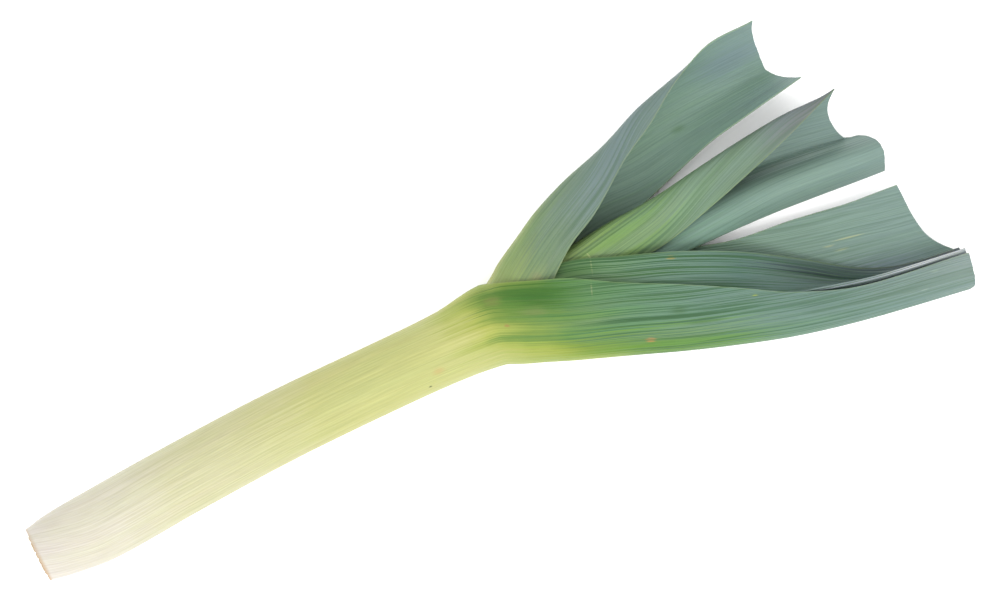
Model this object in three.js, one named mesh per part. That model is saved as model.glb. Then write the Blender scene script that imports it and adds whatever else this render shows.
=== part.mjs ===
// A trimmed leek lying on its side, as bought: a pale shaft of rolled leaf sheaths around a root plate, which opens
// into a flat fan of blades cut off at the tips. Millimetres, +Z up, resting on z = 0. +X runs from the root to the
// tips, and the leaves grow in two ranks: the outer and third leaf keel towards -Y, the second and fourth towards +Y.
import * as THREE from "three";

// Driving dimensions
const AXIS_HEIGHT = 17.1; // the shaft's centre line above the surface that it lies on
const SHEATH_WALL = 1.9;
const BLADE_WALL = 1.0;
const WALL_CHANGE = { start: -20, end: 50 }; // where the sheath's wall thins to the blade's, from the leaf's mouth
const MARGIN_THINNING = 0.4; // the share of the wall that is gone at a blade's margin
const MARGIN_START = 0.4; // the share from keel to margin where that thinning starts
const LAYER_GAP = 0.35;
const LAYER = SHEATH_WALL + LAYER_GAP; // from one sheath's outside to the next one's
const ROOT_PLATE_THICKNESS = 6;
const ROOT_CUT_LEAN = 0.1; // how far the cut root end leans back for each millimetre of height
const HALF_COLUMNS = 7; // facets from keel to margin: an odd number leaves a flat strip under the shaft
const ROWS_PER_SPAN = 2;
const SHORTEST_ROW = 1; // no row closer than this to a leaf's first one
const LEAF_ROUGHNESS = 0.5;
const ROOT_ROUGHNESS = 0.8;

// Two cubic handles that reach this many radii make a half circle.
const ROUND_HANDLES = 4 / 3;

// The underside's radius, which puts the flat strip exactly on the surface that the shaft lies on.
const UNDERSIDE = AXIS_HEIGHT / Math.cos(Math.PI / (2 * HALF_COLUMNS));

// The shaft from the root to the neck: distance along, sideways drift of the centre line, outer radius.
const SHAFT = [
  { x: 0, y: -1.0, r: 14.2 },
  { x: 12, y: -1.0, r: 16.4 },
  { x: 35, y: -1.2, r: 18.3 },
  { x: 85, y: 1.7, r: 18.2 },
  { x: 140, y: 3.6, r: 17.9 },
  { x: 200, y: 3.1, r: 17.6 },
  { x: 232, y: 2.6, r: 18.3 },
];

const RANK = { lower: -1, upper: 1 };

// A closed sheath's section: each half is one cubic from the keel round to the seam, as [across, height] pairs.
function ring(width, top, bottom) {
  const half = (rise) => [
    [0, AXIS_HEIGHT + rise * ROUND_HANDLES],
    [2 * width, AXIS_HEIGHT + rise * ROUND_HANDLES],
    [2 * width, AXIS_HEIGHT],
  ];
  return { near: half(top), far: half(-bottom) };
}

// The stations of a sheath whose skin lies `depth` under the shaft's, with its keel on one side.
function sheath(rank, depth) {
  return SHAFT.map(({ x, y, r }, i) => {
    const before = SHAFT[Math.max(i - 1, 0)];
    const after = SHAFT[Math.min(i + 1, SHAFT.length - 1)];
    return {
      keel: [x, y + rank * (r - depth), AXIS_HEIGHT],
      heading: Math.atan2(after.y - before.y, after.x - before.x),
      ...ring(r - depth, r - depth, Math.min(r, UNDERSIDE) - depth),
    };
  });
}

// Each leaf: its stations from the neck on, and how far its cut end runs past the last station, as [share, length]
// pairs across the leaf from -1, the far margin, by 0, the keel, to 1, the near margin.
const LEAVES = {
  outer_leaf: {
    rank: RANK.lower,
    layer: 0,
    colour: 0xb9c98a,
    blade: [
      { keel: [252, -18.1, 17.1], heading: -0.12, ...ring(21, 18.3, UNDERSIDE) },
      { keel: [257, -20.3, 17], heading: -0.2, near: [[0, 39], [34, 40], [41.8, 31]], far: [[0, -5], [34, -6.5], [41, 2]] },
      { keel: [262, -22.5, 17], heading: -0.3, near: [[0, 38.5], [28, 39.5], [41.5, 33.5]], far: [[0, -3], [28, -4], [40, 1]] },
      { keel: [268, -24.8, 16.5], heading: -0.37, near: [[0, 38], [24, 38.5], [41.2, 34]], far: [[0, -1], [24, -3], [40, 0]] },
      { keel: [284, -31.4, 16], near: [[0, 37], [20, 37.5], [41.2, 33.5]], far: [[0, 1], [16, -1], [38, 0]] },
      { keel: [308, -40.6, 14.5], near: [[0, 34], [18, 35], [37, 31]], far: [[0, 2], [12, -1], [36, 0]] },
      { keel: [336, -51.4, 12.5], near: [[-1, 30], [14, 32.5], [33.5, 28.5]], far: [[0, 2], [10, -1], [34, 0]] },
      { keel: [366, -61.9, 11], near: [[-1, 26], [12, 30], [28, 26]], far: [[0, 2], [10, -1], [32, 0]] },
      { keel: [391, -69.3, 10], near: [[-2, 22], [8, 28], [22, 24.5]], far: [[0, 2], [10, -1], [30, 0]] },
      { keel: [425, -76.9, 9], near: [[-2, 20], [6, 26], [17, 22.5]], far: [[0, 2], [9, -1], [25, 0]] },
      { keel: [476, -85.8, 9], near: [[-1, 20], [5, 26], [18, 22]], far: [[0, 2], [8, -1], [20, 0]] },
    ],
    cut: [[-1, -6], [0, -2], [0.15, 1.5], [0.4, 4], [1, 5]],
  },
  second_leaf: {
    rank: RANK.upper,
    layer: 1,
    colour: 0x7f9c86,
    blade: [
      { keel: [252, 20.3, 17.1], heading: 0.1, ...ring(17.2, 15.8, UNDERSIDE - LAYER) },
      { keel: [258, 21.2, 17], heading: 0.17, near: [[0, 35.5], [29, 36.5], [33.3, 29]], far: [[0, 0], [29, 0], [33.3, 6.5]] },
      { keel: [264, 24.5, 17], heading: 0.33, near: [[0, 34], [24, 35.5], [32.5, 30.5]], far: [[0, 2], [26, 1], [35, 4.5]] },
      { keel: [271, 29.4, 17], near: [[0, 33.5], [20, 34.5], [29.5, 30]], far: [[0, 3], [24, 2], [36, 4]] },
      { keel: [284, 36.4, 16.5], near: [[-1, 32], [13, 33], [26.2, 30]], far: [[0, 4], [18, 2], [36, 3.5]] },
      { keel: [300, 44.4, 15.5], near: [[-3, 29], [10, 32], [24, 28.5]], far: [[0, 3], [16, 1], [36, 3]] },
      { keel: [322, 50.4, 12], near: [[-8, 22], [4, 31], [20, 26]], far: [[0, 2], [14, 1], [34, 3]] },
      { keel: [350, 53.2, 6], near: [[-11, 10], [-12, 31], [5, 24.5]], far: [[5, 0], [16, 1], [28.5, 5]] },
      { keel: [370, 56, 3], near: [[-13, 6], [-20, 29], [-2.5, 24]], far: [[6, 0], [14, 2], [25.2, 8]] },
      { keel: [392, 57.2, 1.2], near: [[-12, 1], [-22, 19], [-15.5, 25]], far: [[6, 0], [12, 4], [20.2, 13]] },
      { keel: [412, 57.5, 0.5], near: [[-8, 1], [-19, 12], [-23.8, 25]], far: [[5, 1], [11, 6], [17.2, 16]] },
      { keel: [434.5, 57.3, 0.3], near: [[-7, 2], [-18, 8], [-25, 22]], far: [[4, 2], [9, 9], [13.5, 20]] },
    ],
    cut: [[-1, 13], [-0.5, 4.5], [0, 0], [0.5, 0], [0.85, 1], [1, 3]],
  },
  third_leaf: {
    rank: RANK.lower,
    layer: 2,
    colour: 0x6f9180,
    blade: [
      { keel: [252, -11.1, 17.1], heading: -0.08, ...ring(14.8, 13.5, UNDERSIDE - 2 * LAYER) },
      { keel: [259, -12.5, 17], near: [[0, 33], [27, 32], [32, 25]], far: [[0, 3.5], [26, 3.2], [31, 10]] },
      { keel: [270, -17.5, 17], near: [[0, 32], [22, 31], [37, 25.5]], far: [[0, 5], [22, 4.5], [36, 6.5]] },
      { keel: [290, -25, 16], near: [[0, 29.5], [20, 30.5], [42, 25.5]], far: [[0, 5], [20, 4], [38, 6]] },
      { keel: [314, -32.5, 14], near: [[0, 27], [16, 30], [40.5, 25.5]], far: [[0, 4], [18, 2.5], [40, 6]] },
      { keel: [340, -41, 12], near: [[0, 24], [14, 28.5], [39, 24]], far: [[0, 4], [16, 5], [40, 9]] },
      { keel: [370, -51, 10], near: [[8, 27], [8, 20], [34.8, 16]], far: [[1, 3], [16, 4], [41, 7]] },
      { keel: [400, -60, 9], near: [[20, 40], [0, 10], [26.5, 8]], far: [[1, 3], [18, 1], [46, 6]] },
      { keel: [430, -67.7, 9], near: [[20, 40], [2, 9], [15.5, 10]], far: [[1, 6], [20, 3], [48.6, 8]] },
      { keel: [452, -71.7, 9], near: [[20, 40], [3, 8], [11.5, 12]], far: [[2, 9], [20, 5], [50.2, 10]] },
      { keel: [482, -75.8, 9], near: [[19, 39], [3, 10], [11, 14]], far: [[2, 9], [20, 5], [51.5, 12]] },
    ],
    cut: [[-1, -22], [-0.8, -19], [-0.7, -17], [-0.6, -14], [-0.5, -9], [-0.4, -4], [0, 0], [1, -2]],
  },
  fourth_leaf: {
    rank: RANK.upper,
    layer: 3,
    colour: 0x8fae7c,
    blade: [
      { keel: [252, 15.0, 17.1], heading: 0.06, ...ring(11.9, 11.2, UNDERSIDE - 3 * LAYER) },
      { keel: [272, 16.8, 17], near: [[0, 28.5], [14, 28], [26, 22.5]], far: [[0, 8.3], [14, 7.5], [25, 10]] },
      { keel: [300, 20.5, 16], near: [[0, 25.5], [12, 26], [24, 21.5]], far: [[0, 7], [12, 9], [24, 13]] },
      { keel: [325, 22.3, 15], near: [[-4, 22], [6, 26], [22.3, 21]], far: [[0, 8], [12, 12], [28, 15]] },
      { keel: [350, 21.6, 12], near: [[-8, 19], [2, 29], [20.6, 18]], far: [[2, 6], [12, 18], [28.4, 15]] },
      { keel: [380, 20, 7], near: [[-14, 13], [-10.5, 32], [12, 20]], far: [[4, 0], [14, 27], [27.4, 10]] },
      { keel: [408, 17.5, 4], near: [[-18, 8], [-21, 31], [1.4, 21]], far: [[5, -4], [12, 34], [26.2, 7]] },
      { keel: [430, 14.4, 3], near: [[-16, 6], [-29.5, 27], [-9.3, 23]], far: [[5, -4], [11, 36], [25, 5]] },
      { keel: [455, 10, 3], near: [[-12, 6], [-28, 20], [-24, 25]], far: [[4, -4], [9, 36], [23, 4]] },
    ],
    cut: [[-1, 15], [-0.7, 16], [-0.4, 13], [-0.15, 7], [0, -0.5], [0.2, -4.5], [0.45, -5], [0.75, -1], [1, 0]],
  },
};

// One value at a place along a spline through the knots, whose slopes are those of its neighbours.
function along(knots, values, at) {
  const last = knots.length - 1;
  if (last === 0) return values[0];
  let i = 0;
  while (i < last - 1 && at > knots[i + 1]) i += 1;
  const span = knots[i + 1] - knots[i];
  const slope = (k) => {
    const a = Math.max(k - 1, 0);
    const b = Math.min(k + 1, last);
    return (values[b] - values[a]) / (knots[b] - knots[a]);
  };
  const t = (at - knots[i]) / span;
  const s = 1 - t;
  return (
    values[i] * (1 + 2 * t) * s * s +
    values[i + 1] * (3 - 2 * t) * t * t +
    span * (slope(i) * t * s * s - slope(i + 1) * t * t * s)
  );
}

// A leaf's stations, root to tip: the sheath's keep the shaft's heading, and the blade's turn with its own keel.
function stationsOf({ rank, layer, blade }) {
  const stations = [...sheath(rank, layer * LAYER), ...blade];
  return stations.map((station, i) => {
    const before = stations[Math.max(i - 1, 0)].keel;
    const after = stations[Math.min(i + 1, stations.length - 1)].keel;
    return { heading: Math.atan2(after[1] - before[1], after[0] - before[0]), ...station };
  });
}

function knotsOf(stations) {
  const knots = [0];
  stations.slice(1).forEach(({ keel }, i) => {
    const before = stations[i].keel;
    knots.push(knots[i] + Math.hypot(keel[0] - before[0], keel[1] - before[1]));
  });
  return knots;
}

// The leaf's outer face at a distance along its keel and a share -1 (far margin) to 1 (near margin) across.
function facePoint(rank, stations, knots, at, across) {
  const value = (pick) => along(knots, stations.map(pick), at);
  const [x, y, z] = [0, 1, 2].map((axis) => value((s) => s.keel[axis]));
  const heading = value((s) => s.heading);
  const half = across < 0 ? "far" : "near";
  const t = Math.abs(across);
  const s = 1 - t;
  const weights = [3 * s * s * t, 3 * s * t * t, t ** 3];
  const sum = (axis) => weights.reduce((total, w, i) => total + w * value((station) => station[half][i][axis]), 0);
  const sideways = -rank * sum(0);
  const height = s ** 3 * z + sum(1);
  return new THREE.Vector3(x - sideways * Math.sin(heading), y + sideways * Math.cos(heading), Math.max(height, 0));
}

// The root end is cut on a slant, and the sections behind it straighten up over the bulge.
function leaned(point, at) {
  point.x += ROOT_CUT_LEAN * Math.max(1 - at / SHAFT[2].x, 0) * (point.z - AXIS_HEIGHT);
  return point;
}

// A closed solid from the leaf's outer face and the inner face one wall inside it: a tube up to the mouth's row,
// and an open blade from there on.
function leafGeometry(leaf) {
  const stations = stationsOf(leaf);
  const knots = knotsOf(stations);
  const end = knots.at(-1);
  const mouthAt = knots[SHAFT.length];
  const start = leaf.layer === 0 ? 0 : ROOT_PLATE_THICKNESS + LAYER_GAP;
  const rows = [start];
  knots.slice(1).forEach((knot, i) => {
    for (let k = 1; k <= ROWS_PER_SPAN; k += 1) {
      const at = knots[i] + ((knot - knots[i]) * k) / ROWS_PER_SPAN;
      if (at > start + SHORTEST_ROW) rows.push(at);
    }
  });
  const mouthRow = rows.findIndex((at) => at >= mouthAt);
  const shares = Array.from({ length: 2 * HALF_COLUMNS + 1 }, (_, j) => j / HALF_COLUMNS - 1);
  const cutShares = leaf.cut.map(([share]) => share);
  const cutLengths = leaf.cut.map(([, length]) => length);
  const columns = shares.length - 1;

  const outer = rows.map((at) =>
    shares.map((share) => {
      const bladeShare = Math.max(at - mouthAt, 0) / (end - mouthAt);
      const point = facePoint(leaf.rank, stations, knots, at + bladeShare * along(cutShares, cutLengths, share), share);
      return leaned(point, at);
    }),
  );
  const inner = outer.map((row, i) =>
    row.map((point, j) => {
      const closed = i <= mouthRow;
      const before = closed && j === 0 ? row[columns - 1] : row[Math.max(j - 1, 0)];
      const after = closed && j === columns ? row[1] : row[Math.min(j + 1, columns)];
      const forward = outer[Math.min(i + 1, rows.length - 1)][j].clone().sub(outer[Math.max(i - 1, 0)][j]);
      const inward = forward.cross(after.clone().sub(before)).normalize().multiplyScalar(leaf.rank);
      const thinning = THREE.MathUtils.smoothstep(rows[i], mouthAt + WALL_CHANGE.start, mouthAt + WALL_CHANGE.end);
      const margin = closed ? 0 : THREE.MathUtils.smoothstep(Math.abs(shares[j]), MARGIN_START, 1) * MARGIN_THINNING;
      const wall = THREE.MathUtils.lerp(SHEATH_WALL, BLADE_WALL, thinning) * (1 - margin);
      return point.clone().addScaledVector(inward, wall);
    }),
  );

  const positions = [];
  const index = [];
  const [out, inn] = [outer, inner].map((face) =>
    face.map((row, i) => {
      const ids = row.map((point, j) => {
        if (i <= mouthRow && j === columns) return null;
        return positions.push(point) - 1;
      });
      if (i <= mouthRow) ids[columns] = ids[0];
      return ids;
    }),
  );
  const quad = (a, b, c, d) => (leaf.rank > 0 ? index.push(a, b, c, a, c, d) : index.push(c, b, a, d, c, a));
  const last = rows.length - 1;
  for (let j = 0; j < columns; j += 1) {
    for (let i = 0; i < last; i += 1) {
      quad(out[i][j], out[i][j + 1], out[i + 1][j + 1], out[i + 1][j]);
      quad(inn[i][j], inn[i + 1][j], inn[i + 1][j + 1], inn[i][j + 1]);
    }
    quad(inn[0][j], inn[0][j + 1], out[0][j + 1], out[0][j]);
    quad(out[last][j], out[last][j + 1], inn[last][j + 1], inn[last][j]);
  }
  for (let i = mouthRow; i < last; i += 1) {
    quad(inn[i][0], out[i][0], out[i + 1][0], inn[i + 1][0]);
    quad(out[i][columns], inn[i][columns], inn[i + 1][columns], out[i + 1][columns]);
  }
  return new THREE.BufferGeometry().setFromPoints(positions).setIndex(index);
}

// A closed solid through a row of rings with the same number of points, with a point at each end's middle.
function ringSolid(rings) {
  const count = rings[0].length;
  const middle = (points) => points.reduce((sum, p) => sum.add(p), new THREE.Vector3()).divideScalar(count);
  const positions = [...rings.flat(), middle(rings[0]), middle(rings.at(-1))];
  const first = rings.length * count;
  const index = [];
  for (let j = 0; j < count; j += 1) {
    const k = (j + 1) % count;
    for (let i = 0; i < rings.length - 1; i += 1) {
      const [a, b] = [i * count, (i + 1) * count];
      index.push(a + j, b + k, a + k, a + j, b + j, b + k);
    }
    const end = first - count;
    index.push(first, j, k, first + 1, end + k, end + j);
  }
  return new THREE.BufferGeometry().setFromPoints(positions).setIndex(index);
}

// An oval ring square to the shaft: the keel's side first, then over the top, with facets that line up with a
// sheath's.
function oval({ x, y, width, top, bottom }) {
  const station = { keel: [x, y - width, AXIS_HEIGHT], heading: 0, ...ring(width, top, bottom) };
  const shares = Array.from({ length: 2 * HALF_COLUMNS }, (_, j) => j / HALF_COLUMNS - 1);
  return shares.map((share) => leaned(facePoint(RANK.lower, [station], [0], 0, share), x));
}

function shaftOval(x, depth) {
  const xs = SHAFT.map((s) => s.x);
  const y = along(xs, SHAFT.map((s) => s.y), x);
  const r = along(xs, SHAFT.map((s) => s.r), x);
  return oval({ x, y, width: r - depth, top: r - depth, bottom: Math.min(r, UNDERSIDE) - depth });
}

// The disc that every leaf grows from, inside the outer sheath.
function rootPlate() {
  return ringSolid([0, ROOT_PLATE_THICKNESS].map((x) => shaftOval(x, LAYER)));
}

// The rolled youngest leaves in the middle, closing to a soft point inside the fourth leaf's fold.
function heartLeaf() {
  const depth = 4 * LAYER;
  const start = ROOT_PLATE_THICKNESS + LAYER_GAP;
  const shaft = [start, ...SHAFT.slice(1).map((s) => s.x)].map((x) => shaftOval(x, depth));
  const tip = [
    { x: 252, y: 3.2, width: 9.6, top: 8.7, bottom: 8 },
    { x: 270, y: 5.4, width: 8.4, top: 7.4, bottom: 6 },
    { x: 290, y: 8.4, width: 6.4, top: 4.6, bottom: 3.6 },
    { x: 306, y: 10.6, width: 3.2, top: 2.0, bottom: 2.0 },
    { x: 312, y: 11.3, width: 1.0, top: 0.7, bottom: 0.7 },
  ];
  return ringSolid([...shaft, ...tip.map(oval)]);
}

function named(name, geometry, color, roughness) {
  const mesh = new THREE.Mesh(geometry, new THREE.MeshStandardMaterial({ color, roughness, metalness: 0 }));
  mesh.name = name;
  return mesh;
}

const leek = new THREE.Group();
Object.entries(LEAVES).forEach(([name, leaf]) => leek.add(named(name, leafGeometry(leaf), leaf.colour, LEAF_ROUGHNESS)));
leek.add(named("heart_leaf", heartLeaf(), 0xe6e39a, LEAF_ROUGHNESS));
leek.add(named("root_plate", rootPlate(), 0xcbb187, ROOT_ROUGHNESS));

// The origin is the middle of the underside of the leek's bounding box.
const box = new THREE.Box3().setFromObject(leek);
const middle = box.getCenter(new THREE.Vector3());
leek.position.set(-middle.x, -middle.y, -box.min.z);

export default leek;
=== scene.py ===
# A trimmed leek lying on its side: four folded leaves, the rolled heart inside them and the cut root plate.
import math

import bpy
import numpy as np
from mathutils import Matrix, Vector


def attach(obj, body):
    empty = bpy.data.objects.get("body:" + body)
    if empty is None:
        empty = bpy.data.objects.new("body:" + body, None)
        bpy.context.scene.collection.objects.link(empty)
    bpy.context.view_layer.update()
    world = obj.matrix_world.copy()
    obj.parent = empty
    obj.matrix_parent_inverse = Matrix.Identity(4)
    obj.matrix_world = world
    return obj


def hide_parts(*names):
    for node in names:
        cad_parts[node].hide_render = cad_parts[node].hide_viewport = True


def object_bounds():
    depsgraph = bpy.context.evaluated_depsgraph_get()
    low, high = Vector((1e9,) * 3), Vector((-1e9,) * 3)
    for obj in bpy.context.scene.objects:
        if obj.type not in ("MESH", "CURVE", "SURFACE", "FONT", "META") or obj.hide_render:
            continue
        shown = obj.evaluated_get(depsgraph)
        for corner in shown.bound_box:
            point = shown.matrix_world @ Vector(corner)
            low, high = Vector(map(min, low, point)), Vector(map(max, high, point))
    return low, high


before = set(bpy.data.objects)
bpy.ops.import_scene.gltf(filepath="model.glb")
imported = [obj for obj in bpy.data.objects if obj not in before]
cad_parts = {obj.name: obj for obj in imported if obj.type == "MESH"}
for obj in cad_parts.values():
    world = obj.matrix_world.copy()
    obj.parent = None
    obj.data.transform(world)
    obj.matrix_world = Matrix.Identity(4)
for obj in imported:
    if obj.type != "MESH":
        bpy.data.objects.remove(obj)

bl_info = {
    "name": "Leek",
    "version": (1, 0, 0),
    "blender": (4, 5, 0),
    "location": "3D View > Sidebar > Leek",
    "description": "Makes a trimmed leek's leaves, heart and root plate round its packed model, and a studio",
    "category": "Add Mesh",
}

CAD_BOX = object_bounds()
MM = 0.001

# The stage, in metres: its square floor, the soft light's size and place from the leek's middle, and how far
# beside that middle the camera looks down.
FLOOR_SIZE = 6.0
KEY_SIZE = (1.6, 1.0)
KEY_PLACE = (-0.35, -0.95, 1.38)
VIEW_SHIFT = (0.0224, 0.0145)

# The leek's design, in millimetres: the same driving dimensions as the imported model's.
AXIS_HEIGHT = 17.1
UNDERSIDE = 17.54  # the radius under the shaft: a little more than its height, so it is flat where it lies
SHEATH_WALL = 1.9
BLADE_WALL = 1.0
LAYER = 2.25  # from one sheath's outside to the next one's
ROOT_PLATE_THICKNESS = 6.0
ROOT_CUT_LEAN = 0.1  # how far the cut root end leans back for each millimetre of height
LEAF_START = 6.35  # where the leaves inside the outer one leave the root plate
HALF_WIDTH = 52.0  # a leaf's nominal width from keel to margin
CAD_COLUMNS = 7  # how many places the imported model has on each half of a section
SHARP_EDGE = math.radians(40)  # edges sharper than this aren't smoothed

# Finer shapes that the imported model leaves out, in millimetres.
OPENING = 60.0  # how far beyond the neck the waves of a margin take to grow
RAGGED_SPACING = 3.0  # between the dents of a cut end
WAVE_LENGTH = 38.0  # of a blade's waves, along it
WAVE_WIDTH = 30.0  # and across it
HEART_ROWS, HEART_COLUMNS = 150, 96
HEART_WINDING = 400.0  # how far along the heart its rolled edge takes to go round once
STUB_CIRCLES = [(0.25, 5), (0.52, 11), (0.78, 16)]  # of roots' stubs: share of the radius, and number
STUB_RADIUS, STUB_HEIGHT = 0.75, 0.5
CUT_BULGE = 0.35  # of the cut face, in its middle

# The shaft from the root to the neck: distance along, sideways drift of the centre line, outer radius.
SHAFT = np.array([
    (0, -1.0, 14.2),
    (12, -1.0, 16.4),
    (35, -1.2, 18.3),
    (85, 1.7, 18.2),
    (140, 3.6, 17.9),
    (200, 3.1, 17.6),
    (232, 2.6, 18.3),
])
LEAN_END = SHAFT[2, 0]  # where the sections behind the slanted root cut stand upright again

LOWER, UPPER = -1, 1


def ring(width, top, bottom):
    """A closed sheath's section: each half is one cubic from the keel round to the seam, with its handles 4/3
    radii out."""
    halves = []
    for rise in (top, -bottom):
        height = AXIS_HEIGHT + rise * 4 / 3
        halves.append([(0, height), (2 * width, height), (2 * width, AXIS_HEIGHT)])
    return halves


def sheath(rank, depth):
    """A sheath's stations, `depth` under the shaft's skin: keel, halves of the section and heading."""
    x, y, r = SHAFT.T
    heading = np.arctan2(np.r_[y[1:], y[-1]] - np.r_[y[0], y[:-1]], np.r_[x[1:], x[-1]] - np.r_[x[0], x[:-1]])
    stations = []
    for i in range(len(x)):
        halves = ring(r[i] - depth, r[i] - depth, min(r[i], UNDERSIDE) - depth)
        stations.append(((x[i], y[i] + rank * (r[i] - depth), AXIS_HEIGHT), *halves, heading[i]))
    return stations


# Each leaf from the neck on. A station is its keel's place, the near and far half of its section as three
# (across, height) handles each, and its heading where that isn't simply along the keel. "cut" is how far the
# cut end runs past the last station at shares across the leaf: -1 is the far margin, 0 the keel and 1 the near
# margin. "margin_veins" has the near half's veins follow its margin instead of the keel.
LEAVES = {
    "outer_leaf": {
        "rank": LOWER,
        "layer": 0,
        "blade": [
            ((252, -18.1, 17.1), *ring(21, 18.3, UNDERSIDE), -0.12),
            ((257, -20.3, 17), [(0, 39), (34, 40), (41.8, 31)], [(0, -5), (34, -6.5), (41, 2)], -0.2),
            ((262, -22.5, 17), [(0, 38.5), (28, 39.5), (41.5, 33.5)], [(0, -3), (28, -4), (40, 1)], -0.3),
            ((268, -24.8, 16.5), [(0, 38), (24, 38.5), (41.2, 34)], [(0, -1), (24, -3), (40, 0)], -0.37),
            ((284, -31.4, 16), [(0, 37), (20, 37.5), (41.2, 33.5)], [(0, 1), (16, -1), (38, 0)]),
            ((308, -40.6, 14.5), [(0, 34), (18, 35), (37, 31)], [(0, 2), (12, -1), (36, 0)]),
            ((336, -51.4, 12.5), [(-1, 30), (14, 32.5), (33.5, 28.5)], [(0, 2), (10, -1), (34, 0)]),
            ((366, -61.9, 11), [(-1, 26), (12, 30), (28, 26)], [(0, 2), (10, -1), (32, 0)]),
            ((391, -69.3, 10), [(-2, 22), (8, 28), (22, 24.5)], [(0, 2), (10, -1), (30, 0)]),
            ((425, -76.9, 9), [(-2, 20), (6, 26), (17, 22.5)], [(0, 2), (9, -1), (25, 0)]),
            ((476, -85.8, 9), [(-1, 20), (5, 26), (18, 22)], [(0, 2), (8, -1), (20, 0)]),
        ],
        "cut": [(-1, -6), (0, -2), (0.15, 1.5), (0.4, 4), (1, 5)],
    },
    "second_leaf": {
        "rank": UPPER,
        "layer": 1,
        "blade": [
            ((252, 20.3, 17.1), *ring(17.2, 15.8, UNDERSIDE - LAYER), 0.1),
            ((258, 21.2, 17), [(0, 35.5), (29, 36.5), (33.3, 29)], [(0, 0), (29, 0), (33.3, 6.5)], 0.17),
            ((264, 24.5, 17), [(0, 34), (24, 35.5), (32.5, 30.5)], [(0, 2), (26, 1), (35, 4.5)], 0.33),
            ((271, 29.4, 17), [(0, 33.5), (20, 34.5), (29.5, 30)], [(0, 3), (24, 2), (36, 4)]),
            ((284, 36.4, 16.5), [(-1, 32), (13, 33), (26.2, 30)], [(0, 4), (18, 2), (36, 3.5)]),
            ((300, 44.4, 15.5), [(-3, 29), (10, 32), (24, 28.5)], [(0, 3), (16, 1), (36, 3)]),
            ((322, 50.4, 12), [(-8, 22), (4, 31), (20, 26)], [(0, 2), (14, 1), (34, 3)]),
            ((350, 53.2, 6), [(-11, 10), (-12, 31), (5, 24.5)], [(5, 0), (16, 1), (28.5, 5)]),
            ((370, 56, 3), [(-13, 6), (-20, 29), (-2.5, 24)], [(6, 0), (14, 2), (25.2, 8)]),
            ((392, 57.2, 1.2), [(-12, 1), (-22, 19), (-15.5, 25)], [(6, 0), (12, 4), (20.2, 13)]),
            ((412, 57.5, 0.5), [(-8, 1), (-19, 12), (-23.8, 25)], [(5, 1), (11, 6), (17.2, 16)]),
            ((434.5, 57.3, 0.3), [(-7, 2), (-18, 8), (-25, 22)], [(4, 2), (9, 9), (13.5, 20)]),
        ],
        "cut": [(-1, 13), (-0.5, 4.5), (0, 0), (0.5, 0), (0.85, 1), (1, 3)],
    },
    "third_leaf": {
        "rank": LOWER,
        "layer": 2,
        "margin_veins": True,
        "blade": [
            ((252, -11.1, 17.1), *ring(14.8, 13.5, UNDERSIDE - 2 * LAYER), -0.08),
            ((259, -12.5, 17), [(0, 33), (27, 32), (32, 25)], [(0, 3.5), (26, 3.2), (31, 10)]),
            ((270, -17.5, 17), [(0, 32), (22, 31), (37, 25.5)], [(0, 5), (22, 4.5), (36, 6.5)]),
            ((290, -25, 16), [(0, 29.5), (20, 30.5), (42, 25.5)], [(0, 5), (20, 4), (38, 6)]),
            ((314, -32.5, 14), [(0, 27), (16, 30), (40.5, 25.5)], [(0, 4), (18, 2.5), (40, 6)]),
            ((340, -41, 12), [(0, 24), (14, 28.5), (39, 24)], [(0, 4), (16, 5), (40, 9)]),
            ((370, -51, 10), [(8, 27), (8, 20), (34.8, 16)], [(1, 3), (16, 4), (41, 7)]),
            ((400, -60, 9), [(20, 40), (0, 10), (26.5, 8)], [(1, 3), (18, 1), (46, 6)]),
            ((430, -67.7, 9), [(20, 40), (2, 9), (15.5, 10)], [(1, 6), (20, 3), (48.6, 8)]),
            ((452, -71.7, 9), [(20, 40), (3, 8), (11.5, 12)], [(2, 9), (20, 5), (50.2, 10)]),
            ((482, -75.8, 9), [(19, 39), (3, 10), (11, 14)], [(2, 9), (20, 5), (51.5, 12)]),
        ],
        "cut": [(-1, -22), (-0.8, -19), (-0.7, -17), (-0.6, -14), (-0.5, -9), (-0.4, -4), (0, 0), (1, -2)],
    },
    "fourth_leaf": {
        "rank": UPPER,
        "layer": 3,
        "blade": [
            ((252, 15.0, 17.1), *ring(11.9, 11.2, UNDERSIDE - 3 * LAYER), 0.06),
            ((272, 16.8, 17), [(0, 28.5), (14, 28), (26, 22.5)], [(0, 8.3), (14, 7.5), (25, 10)]),
            ((300, 20.5, 16), [(0, 25.5), (12, 26), (24, 21.5)], [(0, 7), (12, 9), (24, 13)]),
            ((325, 22.3, 15), [(-4, 22), (6, 26), (22.3, 21)], [(0, 8), (12, 12), (28, 15)]),
            ((350, 21.6, 12), [(-8, 19), (2, 29), (20.6, 18)], [(2, 6), (12, 18), (28.4, 15)]),
            ((380, 20, 7), [(-14, 13), (-10.5, 32), (12, 20)], [(4, 0), (14, 27), (27.4, 10)]),
            ((408, 17.5, 4), [(-18, 8), (-21, 31), (1.4, 21)], [(5, -4), (12, 34), (26.2, 7)]),
            ((430, 14.4, 3), [(-16, 6), (-29.5, 27), (-9.3, 23)], [(5, -4), (11, 36), (25, 5)]),
            ((455, 10, 3), [(-12, 6), (-28, 20), (-24, 25)], [(4, -4), (9, 36), (23, 4)]),
        ],
        "cut": [(-1, 15), (-0.7, 16), (-0.4, 13), (-0.15, 7), (0, -0.5), (0.2, -4.5), (0.45, -5), (0.75, -1),
                (1, 0)],
    },
}

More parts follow.
